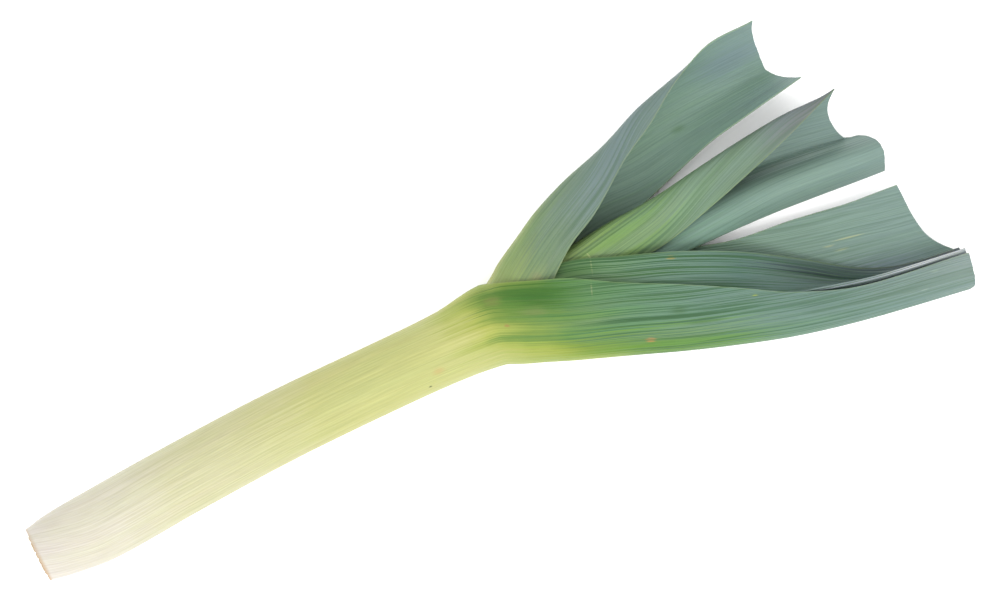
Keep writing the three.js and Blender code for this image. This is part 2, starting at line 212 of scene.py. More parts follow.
# The heart's tip beyond the shaft: distance along, sideways place, half-width, and height above and below the
# axis.
HEART_TIP = [
    (252, 3.2, 9.6, 8.7, 8.0),
    (270, 5.4, 8.4, 7.4, 6.0),
    (290, 8.4, 6.4, 4.6, 3.6),
    (306, 10.6, 3.2, 2.0, 2.0),
    (312, 11.3, 1.0, 0.7, 0.7),
]


# --------------------------------------------------------------------------------------------------
# Shapes
# --------------------------------------------------------------------------------------------------


def smooth(values, start, end):
    """0 before start, 1 after end, and 3t² - 2t³ between them."""
    t = np.clip((values - start) / (end - start), 0, 1)
    return t * t * (3 - 2 * t)


def spline(knots, values, at):
    """Values along a smooth curve through knots. Between two knots it is the cubic that meets both values,
    and a knot's slope is that of the chord between its neighbours."""
    knots, values = np.asarray(knots, float), np.asarray(values, float)
    order = np.arange(len(knots))
    before, after = np.maximum(order - 1, 0), np.minimum(order + 1, len(knots) - 1)
    extra = (1,) * (values.ndim - 1)
    slopes = (values[after] - values[before]) / (knots[after] - knots[before]).reshape(-1, *extra)
    i = np.clip(np.searchsorted(knots, at) - 1, 0, len(knots) - 2)
    span = (knots[i + 1] - knots[i]).reshape(*i.shape, *extra)
    t = (at - knots[i]).reshape(*i.shape, *extra) / span
    s = 1 - t
    ends = values[i] * (1 + 2 * t) * s * s + values[i + 1] * (3 - 2 * t) * t * t
    return ends + span * (slopes[i] * t * s * s - slopes[i + 1] * t * t * s)


def drift(rng, places, spacing):
    """A smooth random curve over places: values from -1 to 1, one every spacing, joined by the spline."""
    first = places.min() - spacing
    count = int(np.ptp(places) / spacing) + 4
    return spline(first + spacing * np.arange(count), rng.uniform(-1, 1, count), places)


def section_point(table, share):
    """The place on a section at a share across. Each row of table is keel x, y, z, heading, and the near and
    far half's handles; the half is the cubic from the keel over its three handles."""
    t = np.abs(share)
    s = 1 - t
    handles = np.where((share < 0)[..., None], table[..., 10:16], table[..., 4:10])
    handles = handles.reshape(*share.shape, 3, 2)
    weights = np.stack([3 * s * s * t, 3 * s * t * t, t**3], -1)
    across, rise = np.moveaxis((weights[..., None] * handles).sum(-2), -1, 0)
    return across, s**3 * table[..., 2] + rise


def lean(points, at):
    """The root end is cut on a slant, so x grows with height there, and less so further along the bulge."""
    points[..., 0] += ROOT_CUT_LEAN * np.maximum(1 - at / LEAN_END, 0) * (points[..., 2] - AXIS_HEIGHT)
    return points


class Leaf:
    """One leaf's design, ready to be sampled: its stations as rows of numbers over the distance along it."""

    def __init__(self, rank, layer, blade, cut, margin_veins=False):
        self.rank, self.layer, self.margin_veins = rank, layer, margin_veins
        stations = [*sheath(rank, layer * LAYER), *blade]
        keels = np.array([station[0] for station in stations], float)
        steps = np.hypot(*np.diff(keels[:, :2], axis=0).T)
        self.knots = np.r_[0, np.cumsum(steps)]
        self.start = 0.0 if layer == 0 else LEAF_START
        self.mouth = self.knots[len(SHAFT)]
        self.end = self.knots[-1]
        self.cut = np.array(cut, float).T
        rows = []
        for i, (keel, near, far, *heading) in enumerate(stations):
            ahead = keels[min(i + 1, len(keels) - 1)] - keels[max(i - 1, 0)]
            turn = heading[0] if heading else math.atan2(ahead[1], ahead[0])
            rows.append([*keel, turn, *np.ravel(near), *np.ravel(far)])
        self.rows = np.array(rows)

    def outer_face(self, at, share):
        """Places on the outside at distances along and shares across. The section stands square to the
        heading, above the layers outside this one; the last one lies past its station by the cut's length."""
        beyond = np.maximum(at - self.mouth, 0) / (self.end - self.mouth)
        table = spline(self.knots, self.rows, at + beyond * spline(*self.cut, share))
        across, height = section_point(table, share)
        sideways = -self.rank * across
        floor = self.layer * LAYER * (1 - smooth(at, self.mouth, self.mouth + 30))
        points = np.stack([
            table[..., 0] - sideways * np.sin(table[..., 3]),
            table[..., 1] + sideways * np.cos(table[..., 3]),
            np.maximum(height, floor),
        ], -1)
        return lean(points, at)


def inward(face, rank, closed):
    """Unit vectors into the leaf, square to the steps along and across it. A closed row's ends are one
    place."""
    along = np.gradient(face, axis=0)
    across = np.gradient(face, axis=1)
    across[:closed, 0] = across[:closed, -1] = face[:closed, 1] - face[:closed, -2]
    normal = np.cross(along, across) * rank
    return normal / np.linalg.norm(normal, axis=-1, keepdims=True)


def reach(face):
    """How far each place is from the keel, measured over its section: below 0 on the far half."""
    steps = np.linalg.norm(np.diff(face, axis=1), axis=-1)
    length = np.concatenate([np.zeros((len(face), 1)), np.cumsum(steps, 1)], 1)
    return length - length[:, length.shape[1] // 2, None]


def closed_seam(face, share, closed):
    """Draws the two margins of each closed row together: each half takes up half of the gap, more towards its
    end."""
    gap = (face[:closed, -1] - face[:closed, 0])[:, None]
    pull = 0.5 * np.sign(share[:closed]) * smooth(np.abs(share[:closed]), 0.5, 1)
    face[:closed] -= gap * pull[..., None]
    return face


def cells(grid):
    """The corners of every cell of a grid of point numbers."""
    corners = (grid[:-1, :-1], grid[1:, :-1], grid[1:, 1:], grid[:-1, 1:])
    return np.stack([corner.ravel() for corner in corners], -1)


def skin_quads(out, inn, closed):
    """The corners of a skin's faces from its two grids of point numbers: outside, inside, both cut ends, and
    both margins beyond row `closed`."""
    strips = [
        (out[:-1, :-1], out[:-1, 1:], out[1:, 1:], out[1:, :-1]),
        (inn[:-1, :-1], inn[1:, :-1], inn[1:, 1:], inn[:-1, 1:]),
        (inn[0, :-1], inn[0, 1:], out[0, 1:], out[0, :-1]),
        (out[-1, :-1], out[-1, 1:], inn[-1, 1:], inn[-1, :-1]),
        (inn[closed - 1:-1, 0], out[closed - 1:-1, 0], out[closed:, 0], inn[closed:, 0]),
        (out[closed - 1:-1, -1], inn[closed - 1:-1, -1], inn[closed:, -1], out[closed:, -1]),
    ]
    return np.concatenate([np.stack([corner.ravel() for corner in strip], -1) for strip in strips])


def skin(name, outer, inner, closed, uv, rim, material):
    """One closed piece from two faces of the same grid, a tube up to row `closed` and an open sheet beyond,
    with the cut ends and both margins joined. The two faces share uv, their map, and rim, the distance from a
    margin; the face attribute is 0 outside and 1 inside."""
    rows, columns = outer.shape[:2]
    grid = np.arange(rows * columns).reshape(rows, columns)
    ids = grid.copy()
    ids[:closed, -1] = ids[:closed, 0]
    quads = skin_quads(ids, ids + rows * columns, closed)
    corners = skin_quads(grid, grid, closed)
    points = np.concatenate([outer.reshape(-1, 3), inner.reshape(-1, 3)])
    values = {"face": np.repeat([0.0, 1.0], rows * columns), "rim": np.tile(rim.ravel() * MM, 2)}
    used, quads = np.unique(quads, return_inverse=True)
    values = {kind: value[used] for kind, value in values.items()}
    return piece(name, points[used], quads.reshape(-1, 4), uv.reshape(-1, 2)[corners], values, material)


def piece(name, points, quads, uv, values, material):
    """A mesh object from points in millimetres in the design's frame, with its map in metres and its
    attributes. It is smooth but for sharp edges, and rides on the leek's one body in place of its node."""
    mesh = bpy.data.meshes.new(name)
    mesh.from_pydata([], [], [])
    mesh.vertices.add(len(points))
    mesh.vertices.foreach_set("co", ((points - DESIGN_ORIGIN) * MM).astype(np.float32).ravel())
    sizes = (quads >= 0).sum(1)
    mesh.loops.add(int(sizes.sum()))
    mesh.loops.foreach_set("vertex_index", quads[quads >= 0].astype(np.int32))
    mesh.polygons.add(len(quads))
    mesh.polygons.foreach_set("loop_start", np.r_[0, np.cumsum(sizes)[:-1]].astype(np.int32))
    layer = mesh.uv_layers.new(name="leaf")
    layer.data.foreach_set("uv", (uv[quads >= 0] * MM).astype(np.float32).ravel())
    for kind, value in values.items():
        mesh.attributes.new(kind, "FLOAT", "POINT").data.foreach_set("value", value.astype(np.float32))
    mesh.polygons.foreach_set("use_smooth", np.ones(len(quads), bool))
    mesh.update(calc_edges=True)
    mesh.validate()
    mesh.set_sharp_from_angle(angle=SHARP_EDGE)
    mesh.materials.append(material)
    made = bpy.data.objects.new(f"{name}_skin", mesh)
    bpy.context.scene.collection.objects.link(made)
    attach(made, "root")
    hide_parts(name)
    return made


ALL_LEAVES = {name: Leaf(**leaf) for name, leaf in LEAVES.items()}


def design_origin():
    """The design's place of the frame's origin: the middle of the leaves' box, sampled as in the CAD."""
    low, high = np.full(2, np.inf), np.full(2, -np.inf)
    for leaf in ALL_LEAVES.values():
        knots = leaf.knots[leaf.knots > leaf.start]
        shares = np.arange(-CAD_COLUMNS, CAD_COLUMNS + 1) / CAD_COLUMNS
        at, share = np.meshgrid(np.r_[leaf.start, knots], shares, indexing="ij")
        places = leaf.outer_face(at, share)[..., :2].reshape(-1, 2)
        low, high = np.minimum(low, places.min(0)), np.maximum(high, places.max(0))
    return np.array([*(low + high) / 2, 0.0])


DESIGN_ORIGIN = design_origin()


def leaf_faces(leaf, settings, seed):
    """A leaf's outer and inner face with its veins, and the map over both.

    Rows run along and columns across. The outer face is the design's, lowered by grooves: a cosine across the
    leaf, one period per vein, whose depth drifts at random from vein to vein and whose place wanders along.
    The inner face lies one wall inside it, thinner on the blade and towards its rounded margins, with
    shallower grooves."""
    rng = np.random.default_rng(seed)
    half = settings.columns // 2
    sheath_rows = np.linspace(leaf.start, leaf.mouth, settings.sheath_rows)
    blade_rows = np.linspace(leaf.mouth, leaf.end, settings.blade_rows)[1:]
    closed = len(sheath_rows)
    at, share = np.meshgrid(np.r_[sheath_rows, blade_rows], np.linspace(-1, 1, 2 * half + 1), indexing="ij")
    open_share = smooth(at, leaf.mouth, leaf.mouth + OPENING)

    ragged = drift(rng, share[0] * HALF_WIDTH, RAGGED_SPACING) * settings.ragged_cut / MM
    ragged[[0, -1]] = ragged[[0, -1]].mean()
    ends = smooth(at, leaf.end - 12, leaf.end)
    if leaf.layer == 0:
        ends += 1 - smooth(at, leaf.start, leaf.start + 8)
    face = closed_seam(leaf.outer_face(at, share), share, closed)
    face[..., 0] += ends * ragged
    across = reach(face)
    from_margin = np.minimum(across[:, -1:] - across, across - across[:, :1])
    if leaf.margin_veins:
        across += smooth(share, 0.3, 0.7) * (across[:, -1:].max() - across[:, -1:]) * open_share
    into = inward(face, leaf.rank, closed)
    wander = 0.6 * np.sin(at / 31 + seed) + 0.4 * np.sin(at / 13 + 2 * seed)
    depth = 0.55 + 0.45 * drift(rng, across[closed], 4.0)
    veins = (0.5 - 0.5 * np.cos(2 * np.pi * (across * MM / settings.vein_spacing) + wander)) * depth
    wave = drift(rng, at[:, :1] + 0 * share, WAVE_LENGTH) * drift(rng, across[-1], WAVE_WIDTH)
    wave = wave * open_share * np.abs(share) ** 2 * settings.wave_height / MM

    thinning = smooth(at, leaf.mouth - 20, leaf.mouth + 50)
    wall = (settings.sheath_wall + (settings.blade_wall - settings.sheath_wall) * thinning) / MM
    margin = np.where(at > leaf.mouth, 1 - 0.4 * smooth(np.abs(share), 0.4, 1), 1)
    edge = np.clip((np.abs(share) - 0.985) / 0.015, 0, 1)
    margin = np.where(at > leaf.mouth, margin * np.sqrt(1 - 0.8 * edge**2), 1)

    groove = settings.vein_depth / MM
    outer = face + into * (veins * groove + wave)[..., None]
    inner = face + into * (wall * margin + wave - 0.5 * veins * groove)[..., None]
    outer[..., 2] = np.maximum(outer[..., 2], 0)
    inner[..., 2] = np.maximum(inner[..., 2], 0)
    rim = np.where(at > leaf.mouth, from_margin, HALF_WIDTH)
    return outer, inner, closed, np.stack([across, at], -1), rim


# --------------------------------------------------------------------------------------------------
# Materials
# --------------------------------------------------------------------------------------------------


def linear(code, share=1.0):
    """An sRGB hex colour as linear red, green and blue, or a share of it."""
    values = np.array([int(code[i:i + 2], 16) for i in (0, 2, 4)]) / 255
    return tuple(share * np.where(values <= 0.04045, values / 12.92, ((values + 0.055) / 1.055) ** 2.4))


def add(tree, kind, inputs=None, output=0, stops=None, **settings):
    """Adds a node with its settings, links or values on its inputs, and a ramp's stops; returns an output."""
    node = tree.nodes.new(f"ShaderNode{kind}")
    node.location.x = 190 * len(tree.nodes)
    for name, value in settings.items():
        setattr(node, name, value)
    for i, (place, colour) in enumerate(stops or ()):
        used = node.color_ramp.elements
        element = used[i] if i in (0, len(stops) - 1) else used.new(place)
        element.position, element.color = place, (*colour, 1)
    for name, value in (inputs or {}).items():
        if isinstance(value, bpy.types.NodeSocket):
            tree.links.new(value, node.inputs[name])
        else:
            node.inputs[name].default_value = value
    return node.outputs[output]


# What colours each leaf takes on from root to tip, outside and inside, as (millimetres along, sRGB hex), as
# they look in the stage's light; how many millimetres later its keel turns green than its margins, and over
# what width; how strong its dark streaks are; and how pale its margins.
STAGE_LIGHT = 2.48  # how much brighter than its own albedo a flat surface looks on the stage
SHEATH_COLOURS = [(0, "ece5d9"), (40, "eae5ce"), (90, "e0ddb2"), (160, "d3d48e"), (225, "d1d488")]
LOOKS = {
    "outer_leaf": {
        "outside": [*SHEATH_COLOURS, (246, "bdc763"), (262, "86a447"), (280, "68964a"), (310, "6c9a68"),
                    (345, "73997f"), (410, "7a998b"), (490, "9caea9")],
        "inside": [(0, "ece6c8"), (240, "b8c483"), (300, "7f9f7c"), (490, "7f9a90")],
        "delay": (62, 30),
        "streaks": 0.8,
        "pale_margin": 0.15,
    },
    "second_leaf": {
        "outside": [(0, "ece6c8"), (225, "c8ca7c"), (258, "a0b46c"), (285, "859e74"), (330, "7d9585"),
                    (450, "7f9392")],
        # Its inside is painted lighter around 320 mm along: painted light against the shade near its fold.
        "inside": [(0, "ece6c8"), (250, "a9c38e"), (320, "8aac93"), (400, "8fb09d"), (450, "93aea8")],
        "delay": (50, 18),
        "streaks": 0.25,
        "pale_margin": 0.25,
    },
    "third_leaf": {
        "outside": [(0, "ece6c8"), (225, "c8ca7c"), (262, "8bae69"), (300, "78a263"), (340, "6d9278"),
                    (380, "658779"), (490, "9a9fa6")],
        # Its inside is painted lighter around 320 mm along: painted light against the shade on it.
        "inside": [(0, "ece6c8"), (250, "a9c38e"), (320, "8cb292"), (400, "88a692"), (490, "8eaa9e")],
        "delay": (30, 26),
        "streaks": 1.0,
        "pale_margin": 0.15,
    },
    "fourth_leaf": {
        "outside": [(0, "ece6c8"), (225, "d2d27c"), (290, "9cb85c"), (325, "8aac6a"), (370, "84a480"),
                    (465, "768481")],
        "inside": [(0, "ece6c8"), (260, "a8c388"), (330, "7fa98c"), (400, "8eac9b"), (465, "90aaa2")],
        "delay": (10, 26),
        "streaks": 0.35,
        "pale_margin": 0.25,
    },
}

# The marks on the leaves: what it is, the side (0 outside, 1 inside), its place along and across from the
# keel, its half-length along and half-width across, in millimetres, its sRGB hex colour, and its cover. The
# crests, the fold and the crease among them are light and shade that the shape alone doesn't give.
MARKS = {
    "outer_leaf": [
        ("deep green at the neck", 0, 268, 45, 24, 11, "437629", 0.9),
        ("deep green below it", 0, 258, 38, 10, 8, "6b943f", 0.55),
        ("green towards the keel", 0, 290, 31, 26, 7, "7fa257", 0.5),
        ("yellow keel", 0, 280, 12, 42, 15, "96b040", 0.6),
        ("green keel", 0, 332, 12, 62, 15, "6f9a34", 0.7),
        ("tan blush", 0, 269, 37, 7, 3, "8f9a62", 0.4),
        ("tan blush", 0, 255, 43.5, 4, 3, "9c9558", 0.4),
        ("rust speck", 0, 214, 11.9, 1.2, 0.8, "40452a", 0.9),
        ("rust halo", 0, 221, 19, 4, 2.5, "dcb878", 0.45),
        ("orange spot", 0, 324.3, 17.8, 2.8, 1.8, "c8964a", 0.85),
        ("orange speck", 0, 258, 30.5, 1.2, 0.9, "b98a55", 0.6),
        ("yellow dash", 0, 378, 34.2, 1.8, 0.7, "b5c655", 0.8),
        ("dark bruise", 0, 339, 32, 6, 3, "587e50", 0.55),
        ("dark bruise", 0, 352, 25, 9, 2, "527c4c", 0.45),
        ("pale scar", 0, 297, 46, 0.5, 4.5, "b9c489", 0.5),
        ("pale scratch", 0, 469, 25.4, 3.2, 0.6, "b3c9ae", 0.5),
        ("pale scratch", 0, 462, 18, 2.4, 0.5, "b3c9ae", 0.4),
    ],
    "second_leaf": [
        ("green keel", 0, 282, 12, 34, 9, "86a66c", 0.55),
        ("tan blush", 0, 278, 28.5, 3, 4, "9c9476", 0.3),
        ("lavender wax", 0, 350, 27, 42, 9, "8291a0", 0.35),
        ("green bruise", 1, 387, -7.1, 5, 2.4, "688d5f", 0.6),
        ("lavender wax", 1, 425, 16, 24, 12, "8599a6", 0.5),
    ],
    "third_leaf": [
        ("deep green base", 0, 296, 46, 16, 9, "5f8c44", 0.6),
        ("pale scar", 0, 304, 46, 0.5, 7, "b4c684", 0.5),
        ("yellow nick", 0, 344, 45.5, 2.2, 1.2, "a59b4c", 0.8),
        # The pale and the grey crest are a painted highlight along the crest.
        ("painted highlight on the crest", 0, 492, 16.8, 62, 3.4, "eef0f6", 0.9),
        ("grey painted highlight along the crest", 0, 430, 16.8, 30, 3.0, "a9b4bb", 0.6),
        # The deep fold is painted shade on the steep flank beside the crest.
        ("painted shade on the flank", 0, 428, 45, 46, 12, "203a33", 0.95),
        ("pale scratch", 1, 452, -36, 9, 0.8, "c9cf96", 0.6),
        ("pale scratch", 1, 446, -31, 6, 0.7, "c9cf96", 0.5),
        ("pale scratch", 1, 440, -34, 4, 0.7, "c9cf96", 0.5),
        ("lavender wax", 1, 455, -14, 34, 12, "93a5b2", 0.6),
    ],
    "fourth_leaf": [
        ("bright green base", 0, 338, 20, 26, 12, "86ad54", 0.45),
        # The pale crease is painted light over the shade in the inner crease.
        ("painted light in the crease", 1, 414, -13, 32, 5.5, "c6dcd2", 0.7),
        ("pale scar", 0, 314, 15, 0.5, 4, "cfd993", 0.5),
        ("violet tip", 0, 438, 34, 26, 12, "8b8592", 0.45),
    ],
}


def waxy_leaf(name, colours, look, marks):
    """Leek leaf, grown: smooth living leaf under a dull bloom of wax. Long veins show as fine pale and dark
    green streaks, the bloom greys the green in bands, and light sinks a little way into the flesh."""
    material = bpy.data.materials.new(f"{name}_waxy_leaf")
    material.use_nodes = True
    tree = material.node_tree
    shader = tree.nodes["Principled BSDF"]
    place = add(tree, "UVMap", uv_map="leaf")
    split = add(tree, "SeparateXYZ", {0: place}).node
    across, along = split.outputs[0], split.outputs[1]
    inside = add(tree, "Attribute", output=2, attribute_name="face")
    rim = add(tree, "Attribute", output=2, attribute_name="rim")
    outside = add(tree, "Math", {0: 1.0, 1: inside}, operation="SUBTRACT")
    spot = add(tree, "TexCoord", output=3)

    # Noise drawn out along the leaf: hairs, veins, lines and bands, as width across, length along, both in
    # metres, detail and shift.
    hair, vein, line, band = (
        add(tree, "TexNoise", {
            "Vector": add(tree, "Mapping", {"Vector": place, "Location": (shift, shift, 0),
                                            "Scale": (1 / width, 1 / length, 1)}),
            "Scale": 1.0, "Detail": detail,
        }, noise_dimensions="2D")
        for width, length, detail, shift in (
            (0.0006, 0.02, 2.0, 3.1),
            (0.0008, 0.09, 1.0, 7.7),
            (0.0013, 0.16, 1.0, 0.4),
            (0.007, 0.1, 2.0, 5.9),
        )
    )
    cloud = add(tree, "TexNoise", {"Vector": spot, "Scale": 1 / 0.03, "Detail": 3.0})

    # How ripe the leaf is here: its distance along, put off towards the keel and strayed by the noise.
    delay, width = look["delay"]
    from_keel = add(tree, "Math", {0: across}, operation="ABSOLUTE")
    keel = add(tree, "MapRange", {"Value": from_keel, "From Min": width * MM, "From Max": 0.0},
               interpolation_type="SMOOTHSTEP")
    late = add(tree, "MapRange", {"Value": along, "From Min": 0.17, "From Max": 0.3, "To Max": -delay * MM},
               interpolation_type="SMOOTHSTEP")
    ripe = add(tree, "Math", {0: keel, 1: late, 2: along}, operation="MULTIPLY_ADD")
    for noise, shift in ((vein, 0.028), (band, 0.025), (cloud, 0.035)):
        stray = add(tree, "MapRange", {"Value": noise, "To Min": -shift / 2, "To Max": shift / 2})
        ripe = add(tree, "Math", {0: ripe, 1: stray}, operation="ADD")
    shades = []
    for side in ("outside", "inside"):
        end = look[side][-1][0]
        share = add(tree, "Math", {0: ripe, 1: end * MM}, operation="DIVIDE")
        stops = [(at / end, linear(code, 1 / STAGE_LIGHT)) for at, code in look[side]]
        shades.append(add(tree, "ValToRGB", {"Fac": share}, stops=stops))
    colour = add(tree, "Mix", {0: inside, 6: shades[0], 7: shades[1]}, output=2, data_type="RGBA")

    # The marks: each an ellipse with a soft edge, broken up by the veins.
    ragged = add(tree, "MapRange", {"Value": vein, "To Min": -0.9, "To Max": 0.9})
    for _, side, at, aside, length, broad, code, cover in marks:
        where = add(tree, "VectorMath", {
            0: place, 1: (1 / (broad * MM), 1 / (length * MM), 0), 2: (-aside / broad, -at / length, 0),
        }, operation="MULTIPLY_ADD")
        away = add(tree, "VectorMath", {0: where}, output=1, operation="LENGTH")
        away = add(tree, "Math", {0: away, 1: ragged}, operation="ADD")
        cover = add(tree, "MapRange", {"Value": away, "From Min": 1.1, "From Max": 0.2, "To Max": cover},
                    interpolation_type="SMOOTHSTEP")
        cover = add(tree, "Math", {0: cover, 1: inside if side else outside}, operation="MULTIPLY")
        colour = add(tree, "Mix", {0: cover, 6: colour, 7: (*linear(code, 1 / STAGE_LIGHT), 1)}, output=2,
                     data_type="RGBA")

    # Where it is green the wax greys it in bands, and dark veins show through, less on the inside.
    green = add(tree, "MapRange", {"Value": ripe, "From Min": 0.255, "From Max": 0.315},
                interpolation_type="SMOOTHSTEP")
    grey = add(tree, "MapRange", {"Value": band, "From Min": 0.62, "From Max": 0.38, "To Max": 0.22},
               interpolation_type="SMOOTHSTEP")
    grey = add(tree, "Math", {0: grey, 1: green}, operation="MULTIPLY")
    colour = add(tree, "Mix", {0: grey, 6: colour, 7: (*colours.bloom, 1)}, output=2, data_type="RGBA")
    fade = add(tree, "MapRange", {
        "Value": along, "From Min": 0.34, "From Max": 0.46, "To Min": 1.0, "To Max": 0.35,
    })
    fade = add(tree, "Math", {0: fade, 1: green}, operation="MULTIPLY")
    less = add(tree, "MapRange", {"Value": inside, "To Min": 1.0, "To Max": 0.5})
    for noise, low, high, share in ((line, 0.54, 0.64, 0.8), (vein, 0.52, 0.62, 0.6)):
        dark = add(tree, "MapRange", {
            "Value": noise, "From Min": low, "From Max": high, "To Max": share * look["streaks"],
        }, interpolation_type="SMOOTHSTEP")
        dark = add(tree, "Math", {0: dark, 1: fade}, operation="MULTIPLY")
        dark = add(tree, "Math", {0: dark, 1: less}, operation="MULTIPLY")
        colour = add(tree, "Mix", {0: dark, 6: colour, 7: (*colours.streak, 1)}, output=2, data_type="RGBA")
    shine = add(tree, "MapRange", {
        "Value": hair, "From Min": 0.3, "From Max": 0.7, "To Min": 0.94, "To Max": 1.06,
    })
    pale = add(tree, "MapRange", {
        "Value": vein, "From Min": 0.3, "From Max": 0.7, "To Min": 1.05, "To Max": 0.95,
    })
    shine = add(tree, "Math", {0: shine, 1: pale}, operation="MULTIPLY")
    tint = add(tree, "MapRange", {"Value": band, "To Min": 0.485, "To Max": 0.515})
    colour = add(tree, "HueSaturation", {"Color": colour, "Value": shine, "Hue": tint})

    edge = add(tree, "MapRange", {
        "Value": rim, "From Min": 0.0008, "From Max": 0.0003, "To Max": look["pale_margin"],
    }, interpolation_type="SMOOTHSTEP")
    colour = add(tree, "Mix", {0: edge, 6: colour, 7: (*colours.margin, 1)}, output=2, data_type="RGBA")

    # The root end's rim is dried, more from the keel down.
    end_cut = add(tree, "MapRange", {"Value": along, "From Min": 0.0022, "From Max": 0.0002},
                  interpolation_type="SMOOTHSTEP")
    patch = add(tree, "MapRange", {
        "Value": across, "From Min": 0.035, "From Max": 0.0, "To Min": 0.3, "To Max": 0.85,
    })
    end_cut = add(tree, "Math", {0: end_cut, 1: patch}, operation="MULTIPLY")
    colour = add(tree, "Mix", {0: end_cut, 6: colour, 7: (*colours.dried, 1)}, output=2, data_type="RGBA")
    tree.links.new(colour, shader.inputs["Base Color"])
    gloss = add(tree, "MapRange", {"Value": cloud, "To Min": 0.4, "To Max": 0.62})
    tree.links.new(gloss, shader.inputs["Roughness"])
    shader.inputs["IOR"].default_value = 1.4
    shader.inputs["Specular IOR Level"].default_value = 0.2
    shader.inputs["Subsurface Weight"].default_value = 0.12
    shader.inputs["Subsurface Radius"].default_value = (1.0, 0.9, 0.4)
    shader.inputs["Subsurface Scale"].default_value = 0.0012
    bump = add(tree, "Bump", {"Height": vein, "Strength": 0.3, "Distance": 0.0003})
    tree.links.new(bump, shader.inputs["Normal"])
    return material


def cut_root():
    """Leek root plate, cut with a knife and dried: corky, matt and tan, with the paler stubs of the roots."""
    material = bpy.data.materials.new("cut_dried_root_plate")
    material.use_nodes = True
    tree = material.node_tree
    shader = tree.nodes["Principled BSDF"]
    spot = add(tree, "TexCoord", output=3)
    stub = add(tree, "Attribute", output=2, attribute_name="face")
    grain = add(tree, "TexNoise", {"Vector": spot, "Scale": 1 / 0.0016, "Detail": 4.0})
    patch = add(tree, "TexNoise", {"Vector": spot, "Scale": 1 / 0.006, "Detail": 2.0})
    colour = add(tree, "ValToRGB", {"Fac": patch}, stops=[
        (0.35, linear("d8bb8c", 1 / STAGE_LIGHT)), (0.65, linear("c49f6c", 1 / STAGE_LIGHT)),
    ])
    dark = add(tree, "Math", {0: grain, 1: 0.5}, operation="MULTIPLY")
    for cover, code in ((dark, "a67d4e"), (stub, "efe3c4")):
        colour = add(tree, "Mix", {0: cover, 6: colour, 7: (*linear(code, 1 / STAGE_LIGHT), 1)}, output=2,
                     data_type="RGBA")
    tree.links.new(colour, shader.inputs["Base Color"])
    shader.inputs["Roughness"].default_value = 0.85
    bump = add(tree, "Bump", {"Height": grain, "Strength": 0.5, "Distance": 0.0004})
    tree.links.new(bump, shader.inputs["Normal"])
    return material


def young_leaf():
    """Leek heart, grown in the dark of the shaft: moist, smooth and pale yellow, greener towards its tip."""
    material = bpy.data.materials.new("moist_young_leaf")
    material.use_nodes = True
    tree = material.node_tree
    shader = tree.nodes["Principled BSDF"]
    place = add(tree, "UVMap", uv_map="leaf")
    along = add(tree, "SeparateXYZ", {0: place}, output=1)
    strand = add(tree, "Mapping", {"Vector": place, "Scale": (1000, 20, 1)})
    fine = add(tree, "TexNoise", {"Vector": strand, "Scale": 1.0, "Detail": 1.0}, noise_dimensions="2D")
    ripe = add(tree, "MapRange", {"Value": fine, "To Min": -0.02, "To Max": 0.02})
    ripe = add(tree, "Math", {0: along, 1: ripe}, operation="ADD")
    share = add(tree, "MapRange", {"Value": ripe, "From Min": 0.15, "From Max": 0.31})
    colour = add(tree, "ValToRGB", {"Fac": share}, stops=[
        (0.0, linear("ece7c0", 1 / STAGE_LIGHT)), (1.0, linear("b9cb6a", 1 / STAGE_LIGHT)),
    ])
    tree.links.new(colour, shader.inputs["Base Color"])
    shader.inputs["Roughness"].default_value = 0.35
    shader.inputs["Subsurface Weight"].default_value = 0.2
    shader.inputs["Subsurface Radius"].default_value = (1.0, 0.9, 0.4)
    shader.inputs["Subsurface Scale"].default_value = 0.002
    return material


def matt_paper(colour):
    """Studio background paper, pressed: smooth, matt and near white."""
    material = bpy.data.materials.new("matt_background_paper")
    material.use_nodes = True
    tree = material.node_tree
    shader = tree.nodes["Principled BSDF"]
    spot = add(tree, "TexCoord", output=3)
    fibre = add(tree, "TexNoise", {"Vector": spot, "Scale": 1 / 0.002, "Detail": 2.0})
    bump = add(tree, "Bump", {"Height": fibre, "Strength": 0.1, "Distance": 0.0001})
    tree.links.new(bump, shader.inputs["Normal"])
    shader.inputs["Base Color"].default_value = (*colour, 1)
    shader.inputs["Roughness"].default_value = 0.9
    shader.inputs["Specular IOR Level"].default_value = 0.1
    return material


# --------------------------------------------------------------------------------------------------
# Settings
# --------------------------------------------------------------------------------------------------


class LeekLeafSettings(bpy.types.PropertyGroup):
    sheath_wall: bpy.props.FloatProperty(
        name="Sheath wall", description="Thickness of a leaf round the shaft", default=SHEATH_WALL * MM,
        min=0.0005, max=0.004, precision=4, unit="LENGTH",
    )
    blade_wall: bpy.props.FloatProperty(
        name="Blade wall", description="Thickness of a leaf beyond the shaft", default=BLADE_WALL * MM,
        min=0.0003, max=0.003, precision=4, unit="LENGTH",
    )
    vein_spacing: bpy.props.FloatProperty(
        name="Vein spacing", description="Distance between the grooves along a leaf", default=0.0022,
        min=0.001, max=0.01, precision=4, unit="LENGTH",
    )
    vein_depth: bpy.props.FloatProperty(
        name="Vein depth", description="Depth of the deepest grooves", default=0.00012,
        min=0.0, max=0.0005, precision=5, unit="LENGTH",
    )
    wave_height: bpy.props.FloatProperty(
        name="Margin waves", description="How far a blade's margins wave to and fro", default=0.0004,
        min=0.0, max=0.002, precision=4, unit="LENGTH",
    )
    ragged_cut: bpy.props.FloatProperty(
        name="Ragged cut", description="How uneven the cut ends are", default=0.00012,
        min=0.0, max=0.002, precision=5, unit="LENGTH",
    )
    sheath_rows: bpy.props.IntProperty(
        name="Rows on the shaft", description="Mesh rows to the neck", default=76, min=8,
    )
    blade_rows: bpy.props.IntProperty(
        name="Rows on the blade", description="Mesh rows beyond the neck", default=110, min=8,
    )
    columns: bpy.props.IntProperty(
        name="Columns", description="Mesh columns across a leaf", default=240, min=16,
    )


